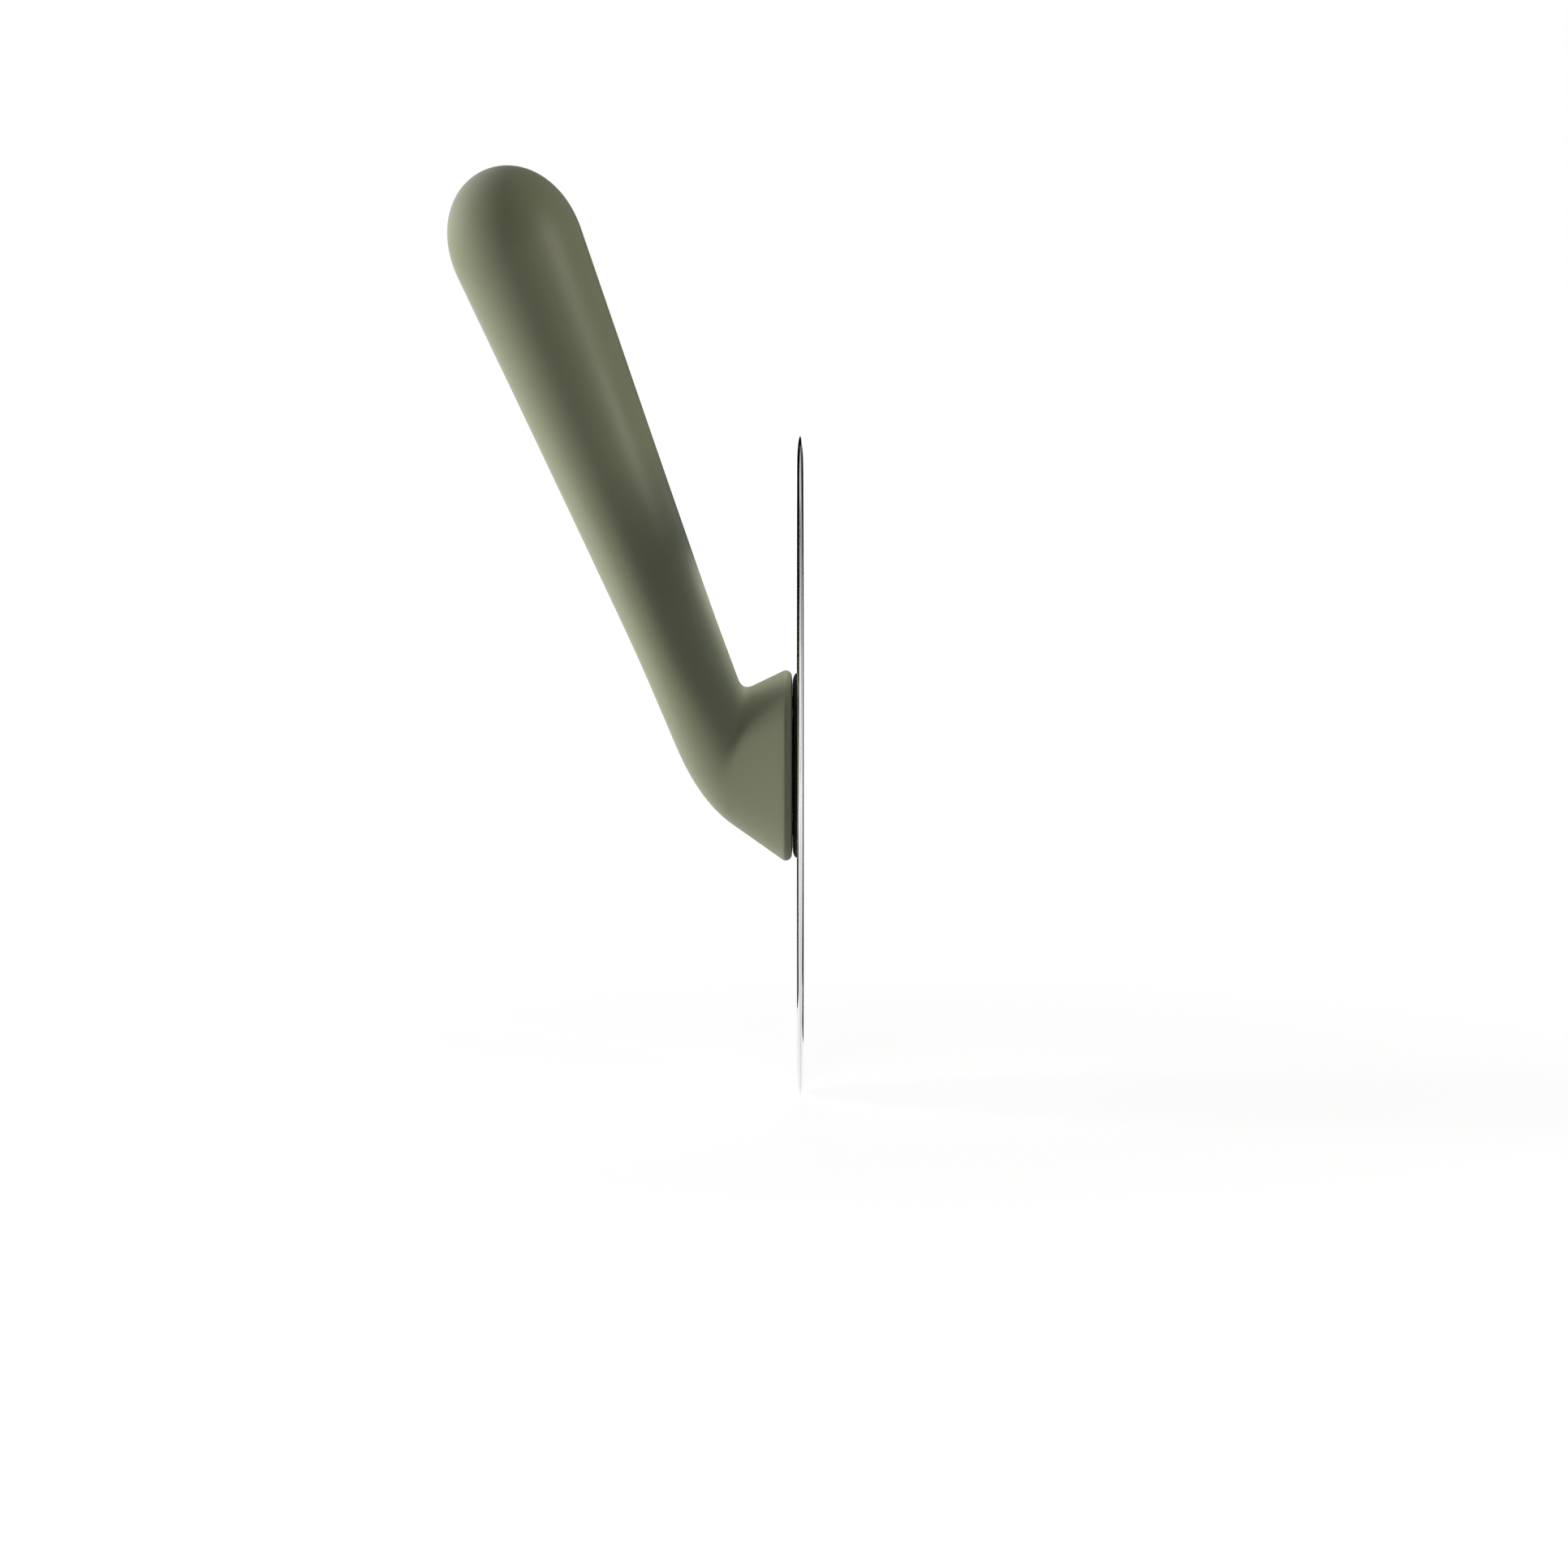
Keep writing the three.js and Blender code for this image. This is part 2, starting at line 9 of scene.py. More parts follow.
import bmesh
import bpy
import numpy as np
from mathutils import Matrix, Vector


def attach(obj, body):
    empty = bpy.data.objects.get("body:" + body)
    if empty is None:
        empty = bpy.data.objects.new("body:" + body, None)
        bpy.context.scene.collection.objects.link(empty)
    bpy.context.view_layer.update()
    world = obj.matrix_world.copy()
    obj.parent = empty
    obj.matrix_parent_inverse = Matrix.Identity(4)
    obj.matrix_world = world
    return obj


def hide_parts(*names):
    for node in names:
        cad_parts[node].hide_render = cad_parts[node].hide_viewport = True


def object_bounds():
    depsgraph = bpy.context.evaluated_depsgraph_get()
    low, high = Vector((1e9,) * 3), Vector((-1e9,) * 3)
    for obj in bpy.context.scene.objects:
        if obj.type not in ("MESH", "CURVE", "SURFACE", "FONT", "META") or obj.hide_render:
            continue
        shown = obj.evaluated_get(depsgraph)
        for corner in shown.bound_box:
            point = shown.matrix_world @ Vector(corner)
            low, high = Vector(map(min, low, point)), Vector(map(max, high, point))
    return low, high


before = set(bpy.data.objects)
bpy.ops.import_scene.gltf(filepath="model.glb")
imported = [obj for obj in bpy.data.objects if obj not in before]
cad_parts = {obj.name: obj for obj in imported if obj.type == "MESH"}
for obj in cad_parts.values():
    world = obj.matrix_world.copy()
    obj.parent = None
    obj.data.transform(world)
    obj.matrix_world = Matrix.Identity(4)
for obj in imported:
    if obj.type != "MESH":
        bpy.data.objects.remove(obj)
cad_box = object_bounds()


# Handle core: the stiff bone inside the handle, which carries the stud in its foot.
# Injection moulded in one piece from glass-filled nylon and then over-moulded with the grip.

CORE_FIBRE = 0.4


def linear(code):
    """Linear RGBA of an sRGB hex colour: ((c + 0.055) / 1.055) to the power 2.4, c / 12.92 near black."""
    channels = np.array([int(code[i:i + 2], 16) for i in (1, 3, 5)]) / 255
    curve = np.where(channels > 0.04045, ((channels + 0.055) / 1.055) ** 2.4, channels / 12.92)
    return (*curve.tolist(), 1.0)


def per_metre(size):
    """Noise scale at which one cell of the noise is that many millimetres long."""
    return 1000 / size


def new_material(name):
    """A material with an empty node tree."""
    material = bpy.data.materials.new(name)
    material.use_nodes = True
    material.node_tree.nodes.clear()
    return material


def add_node(owner, kind, inputs=None, **settings):
    """Adds a shader node with its settings. Each input gets a value, or an output socket to link from."""
    node = owner.node_tree.nodes.new("ShaderNode" + kind)
    for name, value in settings.items():
        setattr(node, name, value)
    for name, value in (inputs or {}).items():
        if isinstance(value, bpy.types.NodeSocket):
            owner.node_tree.links.new(value, node.inputs[name])
        else:
            node.inputs[name].default_value = value
    return node


def finish_node(node, material):
    """Gives a CAD node its finish; its mesh stays as it is."""
    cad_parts[node].material_slots[0].material = material


# Nylon with short glass fibres: dull dark grey, with paler flecks where fibres lie at the skin.
core_nylon = new_material("glass_filled_nylon")
place = add_node(core_nylon, "TexCoord")
flecks = add_node(core_nylon, "TexNoise", {
    "Vector": place.outputs["Object"], "Scale": per_metre(CORE_FIBRE), "Detail": 3.0,
})
tint = add_node(core_nylon, "Mix", {
    0: flecks.outputs["Fac"], 6: linear("#31322e"), 7: linear("#474843"),
}, data_type="RGBA")
relief = add_node(core_nylon, "Bump", {
    "Height": flecks.outputs["Fac"], "Strength": 0.3, "Distance": 0.00004,
})
shader = add_node(core_nylon, "BsdfPrincipled", {
    "Base Color": tint.outputs[2], "Roughness": 0.62, "IOR": 1.53, "Normal": relief.outputs["Normal"],
})
add_node(core_nylon, "OutputMaterial", {"Surface": shader.outputs["BSDF"]})
finish_node("handle_core", core_nylon)


# Grip: the soft skin that the hand holds, from the domed end of the shaft over the elbow to the oval foot.
# Thermoplastic elastomer, over-moulded on the core in a tool with a fine spark-eroded finish.

MM = 0.001
AXLE = np.array([1.0, 0.0, 0.0])
UP = np.array([0.0, 0.0, 1.0])
NEAR_SIDE = np.array([0.0, -1.0, 0.0])
SHAFT_TILT = math.radians(22.1)
ALONG_SHAFT = np.array([-math.sin(SHAFT_TILT), 0.0, math.cos(SHAFT_TILT)])
ACROSS_SHAFT = np.array([math.cos(SHAFT_TILT), 0.0, math.sin(SHAFT_TILT)])
CROSSING_DEPTH = 15.85
CROSSING = -CROSSING_DEPTH * AXLE
# Neck, waist and shoulder: how far up the shaft's line from the axle, and the radius there
NECK = np.array([25.0, 9.1])
WAIST = np.array([37.0, 9.4])
SHOULDER = np.array([117.5, 14.05])
DOME_LENGTH = 19.1
NECK_EASE = 5.0
INNER_CORNER = np.array([-12.9, 0.0, 16.0])
HEEL_CORNER = np.array([-22.1, 0.0, -7.6])
ELBOW_HALF_WIDTH = 9.3
ELBOW_BOW = 2.6
INNER_BEND = 2.4
HEEL_SHAFT_BEND = 44.0
HEEL_FOOT_BEND = 30.0
HEEL_SHARE_POWER = 5
FOOT_FACE = 2.25
FOOT_HALF_HEIGHT = 20.3
FOOT_NARROWING = 5.7
FOOT_LAND_RADIUS = 17.3
RIM_ROUND = 1.3
RIM_SETBACK = 0.15
RIM_DEPTH = FOOT_FACE + RIM_SETBACK + RIM_ROUND
RIM_RADIUS = FOOT_HALF_HEIGHT - RIM_ROUND
FOOT_CONE_ANGLE = math.radians(31)
SKIN_WALL = 2.4
ELBOW_SKIN_FACTOR = 1.26
MOUTH_RADIUS = 16.2
MOUTH_EDGE = 0.15
ROOT_DEPTH = 5.85
GRIP_COLUMNS = 144
DOME_ROWS = 25
TAPER_STEPS = 48
TAPER_CUT = 7
NECK_STEPS = 10
SHAFT_END_STEPS = 8
BEND_STEPS = 30
FOOT_STEPS = 10
RIM_STEPS = 14
RIM_TOUCH_ROUNDS = 4
WELD_DISTANCE = 0.002
SHARP_ANGLE = math.radians(35)
GRIP_GRAIN = 0.35
GRIP_HANDLING = 14.0

# Angles round the handle: inner side, near side, heel side, far side and back to the inner side
turn = np.linspace(0, 2 * np.pi, GRIP_COLUMNS + 1)
round_shaft = np.cos(turn)[:, None] * ACROSS_SHAFT + np.sin(turn)[:, None] * NEAR_SIDE
round_foot = np.cos(turn)[:, None] * UP + np.sin(turn)[:, None] * NEAR_SIDE


def parabola(first, middle, last, steps):
    """Rows from first to last, steered by middle: (1 - t)^2 first + 2 t (1 - t) middle + t^2 last."""
    t = np.linspace(0, 1, steps + 1).reshape(-1, *[1] * np.ndim(first))
    return (1 - t) ** 2 * first + 2 * t * (1 - t) * middle + t ** 2 * last


def straight(first, last, steps):
    """Rows in even steps along straight lines, point by point, from first to last."""
    return parabola(first, (first + last) / 2, last, steps)


def unit(vectors):
    """Vectors divided by their lengths."""
    return vectors / np.linalg.norm(vectors, axis=-1, keepdims=True)


def shaft_rings(station, radius):
    """Circles round the shaft's line, one row for each station up that line and radius there."""
    return CROSSING + station[:, None, None] * ALONG_SHAFT + radius[:, None, None] * round_shaft


def foot_rings(depth, radius):
    """Ovals round the axle, one row for each depth and half height, which may also vary round the row. They
    are narrower than high by the same measure everywhere."""
    narrowing = FOOT_NARROWING * np.sin(turn)[:, None] * NEAR_SIDE
    return -np.asarray(depth)[..., None] * AXLE + np.asarray(radius)[..., None] * round_foot - narrowing


def shaft_rows(inset):
    """Tip to waist: a half ellipse whose radius also grows with the taper, cos(a) (shoulder + slope rise),
    then a taper on a parabola through shoulder and neck, cut off where the neck's easing begins."""
    slope = (SHOULDER[1] - WAIST[1]) / (SHOULDER[0] - WAIST[0])
    lift = np.linspace(np.pi / 2, 0, DOME_ROWS)
    rise = (DOME_LENGTH - inset) * np.sin(lift)
    dome = shaft_rings(SHOULDER[0] + rise, (SHOULDER[1] + slope * rise - inset) * np.cos(lift))
    taper = parabola(SHOULDER, WAIST, NECK, TAPER_STEPS)[1:-TAPER_CUT]
    return np.concatenate([dome, shaft_rings(taper[:, 0], taper[:, 1] - inset)])


def elbow_corner(inset):
    """Ellipse in which shaft and foot would meet sharply, between the inner corner and the heel corner."""
    span = np.linalg.norm(INNER_CORNER - HEEL_CORNER)
    half = span / 2 - ELBOW_SKIN_FACTOR * inset
    lengthwise = half * np.cos(turn)[:, None] * (INNER_CORNER - HEEL_CORNER) / span
    sideways = (ELBOW_HALF_WIDTH - inset) * np.sin(turn)[:, None] * NEAR_SIDE
    bow = ELBOW_BOW * np.sin(turn)[:, None] ** 2 * AXLE
    return (INNER_CORNER + HEEL_CORNER) / 2 + lengthwise + sideways + bow


def handle_rows(inset, foot):
    """Tip of the shaft to a ring of foot points. Every line down the shaft aims at its point of the elbow's
    corner, leaves it on a parabola of its own, short at the inner corner and long at the heel, and runs on
    straight to its foot point."""
    corner = elbow_corner(inset)
    shaft = shaft_rows(inset)
    neck = shaft_rings(NECK[:1], NECK[1:] - inset)[0]
    heading = unit(corner - neck)
    below_neck = neck + NECK_EASE * heading
    leaving = unit(foot - corner)
    run = np.tan(np.arccos((heading * leaving).sum(-1, keepdims=True)) / 2)
    heel_share = ((1 - np.cos(turn[:, None])) / 2) ** HEEL_SHARE_POWER
    bend_start = corner - run * (INNER_BEND + heel_share * (HEEL_SHAFT_BEND - INNER_BEND)) * heading
    bend_end = corner + run * (INNER_BEND + heel_share * (HEEL_FOOT_BEND - INNER_BEND)) * leaving
    return np.concatenate([
        shaft,
        parabola(shaft[-1], neck, below_neck, NECK_STEPS)[1:],
        straight(below_neck, bend_start, SHAFT_END_STEPS)[1:],
        parabola(bend_start, corner, bend_end, BEND_STEPS)[1:],
        straight(bend_end, foot, FOOT_STEPS)[1:],
    ])


def rim_rings(angle):
    """Points of the foot's rounded rim, a circle of RIM_ROUND turned about the axle, by the angle in it."""
    return foot_rings(RIM_DEPTH - RIM_ROUND * np.sin(angle), RIM_RADIUS + RIM_ROUND * np.cos(angle))


def rim_start(corner):
    """Angle of the rim at which each straight line of the foot touches it, from the line's slope, rise over
    run from corner to rim, worked out again a few times as the touching point moves."""
    up, near = np.cos(turn), np.sin(turn)
    slope = np.full(turn.shape, FOOT_CONE_ANGLE)
    for _ in range(RIM_TOUCH_ROUNDS):
        rim = rim_rings(-slope)
        run = rim - corner
        half_height, half_width = rim[0, 2], rim[GRIP_COLUMNS // 4] @ NEAR_SIDE
        along = np.stack([-half_height * near, half_width * up], axis=-1)
        rise = (run[:, 2] * along[:, 1] + run[:, 1] * along[:, 0]) / (up * along[:, 1] - near * along[:, 0])
        slope = np.arctan2(rise, run[:, 0])
    return -slope


def grip_grid():
    """The closed skin: down the outside to the rim, over the face, and back up the hollow to its tip."""
    start = rim_start(elbow_corner(0))
    outside = handle_rows(0, rim_rings(start))
    rim = rim_rings(start + np.linspace(0, 1, RIM_STEPS + 1)[1:, None] * (np.pi / 2 - start))
    face = foot_rings(
        np.array([[FOOT_FACE], [FOOT_FACE], [FOOT_FACE + MOUTH_EDGE]]),
        np.array([[FOOT_LAND_RADIUS], [MOUTH_RADIUS + MOUTH_EDGE], [MOUTH_RADIUS]]),
    )
    root = foot_rings(ROOT_DEPTH, MOUTH_RADIUS)
    hollow = handle_rows(SKIN_WALL, root)[::-1]
    return np.concatenate([outside, rim, face, hollow])


def make_piece(name, grids, material, slot, body, *nodes):
    """Welds grids of points, rows by columns in millimetres, into one closed mesh with a face in each cell,
    gives it the material, hangs it on its body and hides the nodes that it stands for. The slot is not
    used."""
    points = np.concatenate([grid.reshape(-1, 3) for grid in grids])
    faces = []
    first = 0
    for rows, columns in [grid.shape[:2] for grid in grids]:
        number = first + np.arange(rows * columns).reshape(rows, columns)
        cells = [number[:-1, :-1], number[:-1, 1:], number[1:, 1:], number[1:, :-1]]
        faces.append(np.stack(cells, axis=-1).reshape(-1, 4))
        first += rows * columns
    mesh = bpy.data.meshes.new(name)
    mesh.from_pydata((points * MM).tolist(), [], np.concatenate(faces).tolist())
    welded = bmesh.new()
    welded.from_mesh(mesh)
    bmesh.ops.remove_doubles(welded, verts=welded.verts, dist=WELD_DISTANCE * MM)
    bmesh.ops.recalc_face_normals(welded, faces=welded.faces)
    welded.to_mesh(mesh)
    welded.free()
    mesh.shade_smooth()
    mesh.set_sharp_from_angle(angle=SHARP_ANGLE)
    mesh.materials.append(material)
    piece = bpy.data.objects.new(name, mesh)
    bpy.context.scene.collection.objects.link(piece)
    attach(piece, body)
    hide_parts(*nodes)


# Soft-touch elastomer in sage green: a silky matt skin without a sharp highlight. Its spark-eroded grain of
# about 0.1 mm is too fine to show and is drawn at 0.35 mm; hands polish it in faint, wide patches.
sage_elastomer = new_material("sage_soft_touch_elastomer")
place = add_node(sage_elastomer, "TexCoord")
grain = add_node(sage_elastomer, "TexNoise", {
    "Vector": place.outputs["Object"], "Scale": per_metre(GRIP_GRAIN), "Detail": 2.0, "Roughness": 0.6,
})
handling = add_node(sage_elastomer, "TexNoise", {
    "Vector": place.outputs["Object"], "Scale": per_metre(GRIP_HANDLING), "Detail": 2.0,
})
tint = add_node(sage_elastomer, "Mix", {
    0: handling.outputs["Fac"], 6: linear("#82866c"), 7: linear("#888c72"),
}, data_type="RGBA")
polish = add_node(sage_elastomer, "MapRange", {
    "Value": handling.outputs["Fac"], "From Min": 0.3, "From Max": 0.7, "To Min": 0.46, "To Max": 0.52,
})
relief = add_node(sage_elastomer, "Bump", {
    "Height": grain.outputs["Fac"], "Strength": 0.25, "Distance": 0.00003,
})
shader = add_node(sage_elastomer, "BsdfPrincipled", {
    "Base Color": tint.outputs[2], "Roughness": polish.outputs["Result"], "IOR": 1.5,
    "Normal": relief.outputs["Normal"],
})
add_node(sage_elastomer, "OutputMaterial", {"Surface": shader.outputs["BSDF"]})
make_piece("grip_skin", [grip_grid()], sage_elastomer, "grip", "handle", "handle_grip")


# Foot plate: the thin black plate that closes the foot and that the blade runs past.
# Moulded from black nylon, with two pegs that are pressed into the core.

PLATE_FRONT = 1.36
PLATE_BACK = 2.23
PLATE_HALF_HEIGHT = 19.7
PLATE_EDGE_ROUND = 1.9
PLATE_EDGE_ROWS = 17
PLATE_WINDOW = 12.0
PEG_RADIUS = 1.3
PEG_END = 5.2
PEG_OFFSET = 13.5
PEG_TIP_BREAK = 0.3
PEG_COLUMNS = 32
CORNER_STEPS = 6
PLATE_GRAIN = 0.3


def rounded(*corners):
    """Profile through corners of (depth, radius, setback): each corner with a setback becomes a short
    parabola that leaves and meets its two sides that far from the corner."""
    places = np.array([corner[:2] for corner in corners], float)
    rows = []
    for i, (_, _, setback) in enumerate(corners):
        if setback == 0:
            rows.append(places[i:i + 1])
            continue
        before = places[i] + setback * unit(places[i - 1] - places[i])
        after = places[i] + setback * unit(places[i + 1] - places[i])
        rows.append(parabola(before, places[i], after, CORNER_STEPS))
    return np.concatenate(rows)


def turned(profile, columns, middle=(0.0, 0.0)):
    """Surface of a (depth, radius) profile turned about the axle, or about a line beside it through the
    middle: x = -depth, y = middle + radius cos(a), z = middle + radius sin(a)."""
    angle = np.linspace(0, 2 * np.pi, columns + 1)
    depth, radius = profile.T[:, :, None]
    return np.stack([
        np.broadcast_to(-depth, (len(profile), columns + 1)),
        middle[0] + radius * np.cos(angle),
        middle[1] + radius * np.sin(angle),
    ], axis=-1)


def plate_grids():
    """The oval plate from its round window over the edge and back to the window, and its two pegs. The edge
    is a quarter of an ellipse: the depth grows with sin(a) while the half height shrinks with cos(a)."""
    angle = np.linspace(0, np.pi / 2, PLATE_EDGE_ROWS)[:, None]
    edge = foot_rings(
        PLATE_FRONT + (PLATE_BACK - PLATE_FRONT) * np.sin(angle),
        PLATE_HALF_HEIGHT - PLATE_EDGE_ROUND * (1 - np.cos(angle)),
    )
    window = PLATE_WINDOW * round_foot
    front, back = window - PLATE_FRONT * AXLE, window - PLATE_BACK * AXLE
    peg = rounded(
        (PLATE_BACK, 0, 0),
        (PLATE_BACK, PEG_RADIUS, 0),
        (PEG_END, PEG_RADIUS, PEG_TIP_BREAK),
        (PEG_END, 0, 0),
    )
    pegs = [turned(peg, PEG_COLUMNS, (0.0, side * PEG_OFFSET)) for side in (1, -1)]
    return [np.concatenate([[front], edge, [back, front]]), *pegs]


# Black nylon, moulded: a deep matt black that shows next to no gloss in the narrow gap.
black_nylon = new_material("black_nylon")
place = add_node(black_nylon, "TexCoord")
grain = add_node(black_nylon, "TexNoise", {
    "Vector": place.outputs["Object"], "Scale": per_metre(PLATE_GRAIN), "Detail": 2.0,
})
relief = add_node(black_nylon, "Bump", {
    "Height": grain.outputs["Fac"], "Strength": 0.2, "Distance": 0.00002,
})
shader = add_node(black_nylon, "BsdfPrincipled", {
    "Base Color": linear("#090909"), "Roughness": 0.7, "IOR": 1.53, "Specular IOR Level": 0.2,
    "Normal": relief.outputs["Normal"],
})
add_node(black_nylon, "OutputMaterial", {"Surface": shader.outputs["BSDF"]})
make_piece("plate_moulding", plate_grids(), black_nylon, "plate", "handle", "foot_plate")


# Stud: the axle of the wheel, turned from stainless bar; its stepped head is moulded into the core.
# The journal is ground smooth, and a groove near its end takes the retaining ring.

LATHE_FEED = 0.12
WAVE_RADIANS = 20

# Turned stainless steel: bright, with fine rings from the lathe tool along the stud. The wave turns by 20
# radians a unit, so that its rings come out 2 pi times as coarse as the feed, to show.
turned_stainless = new_material("turned_stainless_steel")
place = add_node(turned_stainless, "TexCoord")
feed_marks = add_node(turned_stainless, "TexWave", {
    "Vector": place.outputs["Object"], "Scale": per_metre(LATHE_FEED) / WAVE_RADIANS, "Distortion": 0.4,
}, wave_type="BANDS", bands_direction="X")
relief = add_node(turned_stainless, "Bump", {
    "Height": feed_marks.outputs["Fac"], "Strength": 0.2, "Distance": 0.00001,
})
shader = add_node(turned_stainless, "BsdfPrincipled", {
    "Base Color": linear("#b4b6b8"), "Metallic": 1.0, "Roughness": 0.3, "Normal": relief.outputs["Normal"],
})
add_node(turned_stainless, "OutputMaterial", {"Surface": shader.outputs["BSDF"]})
finish_node("axle_stud", turned_stainless)


# Thrust washers: two flat rings that keep hub, core and retaining ring from rubbing on each other.
# Punched from natural white acetal sheet and loose on the stud.

SHEET_MOTTLE = 2.5

# Natural acetal: milky white and waxy, with a faint mottle from the rolled sheet.
white_acetal = new_material("natural_white_acetal")
place = add_node(white_acetal, "TexCoord")
mottle = add_node(white_acetal, "TexNoise", {
    "Vector": place.outputs["Object"], "Scale": per_metre(SHEET_MOTTLE), "Detail": 2.0,
})
tint = add_node(white_acetal, "Mix", {
    0: mottle.outputs["Fac"], 6: linear("#e4e2d8"), 7: linear("#eceae3"),
}, data_type="RGBA")
shader = add_node(white_acetal, "BsdfPrincipled", {
    "Base Color": tint.outputs[2], "Roughness": 0.42, "IOR": 1.48, "Subsurface Weight": 0.1,
    "Subsurface Scale": 0.001,
})
add_node(white_acetal, "OutputMaterial", {"Surface": shader.outputs["BSDF"]})
finish_node("inner_thrust_washer", white_acetal)
finish_node("outer_thrust_washer", white_acetal)


# Bearing bush: the plain bearing pressed into the hub, which runs on the stud.
# Pressed from bronze powder, sintered and soaked in oil.

BRONZE_PORE = 0.25

# Sintered bronze: brown-gold and dull, sprinkled with dark oil-filled pores.
sintered_bronze = new_material("sintered_bronze")
place = add_node(sintered_bronze, "TexCoord")
pores = add_node(sintered_bronze, "TexNoise", {
    "Vector": place.outputs["Object"], "Scale": per_metre(BRONZE_PORE), "Detail": 2.0,
})
tint = add_node(sintered_bronze, "Mix", {
    0: pores.outputs["Fac"], 6: linear("#8a6431"), 7: linear("#bb8d4d"),
}, data_type="RGBA")
shader = add_node(sintered_bronze, "BsdfPrincipled", {
    "Base Color": tint.outputs[2], "Metallic": 1.0, "Roughness": 0.45,
})
add_node(sintered_bronze, "OutputMaterial", {"Surface": shader.outputs["BSDF"]})
finish_node("bearing_bush", sintered_bronze)


# Retaining ring: the open spring ring that snaps into the stud's groove and keeps the wheel on.
# Stamped from spring steel, hardened and blackened.

SCALE_PATCH = 1.5

# Blackened spring steel: dark grey with a low gloss that changes in small patches of scale.
spring_steel = new_material("blackened_spring_steel")
place = add_node(spring_steel, "TexCoord")
scale_patches = add_node(spring_steel, "TexNoise", {
    "Vector": place.outputs["Object"], "Scale": per_metre(SCALE_PATCH), "Detail": 3.0,
})
dullness = add_node(spring_steel, "MapRange", {
    "Value": scale_patches.outputs["Fac"], "To Min": 0.3, "To Max": 0.5,
})
shader = add_node(spring_steel, "BsdfPrincipled", {
    "Base Color": linear("#6f7276"), "Metallic": 1.0, "Roughness": dullness.outputs["Result"],
})
add_node(spring_steel, "OutputMaterial", {"Surface": shader.outputs["BSDF"]})
finish_node("retaining_ring", spring_steel)


# Hub: the wheel's black centre. Its boss fills the blade's bore, its flange backs the blade inside the foot
# plate's window and its spigot reaches into the handle. Moulded in one piece from black acetal.

TURNED_COLUMNS = 192
BLADE_THICKNESS = 1.3
FLANGE_BACK = 2.1
FLANGE_RADIUS = 11.6
BOSS_RADIUS = 6.7
HUB_MOUTH_RADIUS = 5.6
HUB_MOUTH_FLOOR = 4.3
HUB_BORE_RADIUS = 4.8
SPIGOT_RADIUS = 6.7
SPIGOT_END = 8.7
HUB_EDGE_BREAK = 0.25
FLANGE_EDGE_BREAK = 0.15
RIVET_CIRCLE = 9.4
RIVET_SHANK = 0.8
RIVET_HEAD = 1.5
RIVET_HEAD_DEPTH = 0.8
RIVET_TAIL = 1.3
RIVET_TAIL_DEPTH = 0.4
RIVET_FIT = 0.05
DRILLED_INNER = 7.5
DRILLED_OUTER = 11.3
DRILLED_SIDE_POINTS = 13
DRILLED_FACE_STEPS = 6
HUB_GRAIN = 0.3


def rivet_middles():
    """Places (y, z) of the four rivets, one in the middle of each quarter of their circle."""
    angle = np.pi / 4 + np.pi / 2 * np.arange(4)
    return RIVET_CIRCLE * np.stack([np.cos(angle), np.sin(angle)], axis=-1)


def drilled_quarters(hole):
    """The ring between DRILLED_INNER and DRILLED_OUTER with its rivet holes, as one grid for each quarter.
    Rays from the hole's middle cut the quarter's outline; each grid runs in along the rays on the back
    face, up the hole's (depth, radius) profile and out along the rays on the front face."""
    arc = np.linspace(0, np.pi / 2, TURNED_COLUMNS // 4 + 1)
    side = np.linspace(DRILLED_INNER, DRILLED_OUTER, DRILLED_SIDE_POINTS)
    angle = np.concatenate([
        arc, np.full(len(side) - 2, arc[-1]), arc[::-1], np.full(len(side) - 1, arc[0]),
    ])
    radius = np.concatenate([
        np.full(len(arc), DRILLED_INNER), side[1:-1], np.full(len(arc), DRILLED_OUTER), side[-2::-1],
    ])
    grids = []
    for quarter, middle in enumerate(rivet_middles()):
        heading = angle + np.pi / 2 * quarter
        outline = radius[:, None] * np.stack([np.cos(heading), np.sin(heading)], axis=-1)
        wall = middle + hole[:, 1, None, None] * unit(outline - middle)
        back = straight(outline, wall[0], DRILLED_FACE_STEPS)[:-1]
        front = straight(wall[-1], outline, DRILLED_FACE_STEPS)[1:]
        depth = np.concatenate([
            np.full(len(back), hole[0, 0]), hole[:, 0], np.full(len(front), hole[-1, 0]),
        ])
        across = np.concatenate([back, wall, front])
        x = np.broadcast_to(-depth[:, None, None], (*across.shape[:2], 1))
        grids.append(np.concatenate([x, across], axis=-1))
    return grids


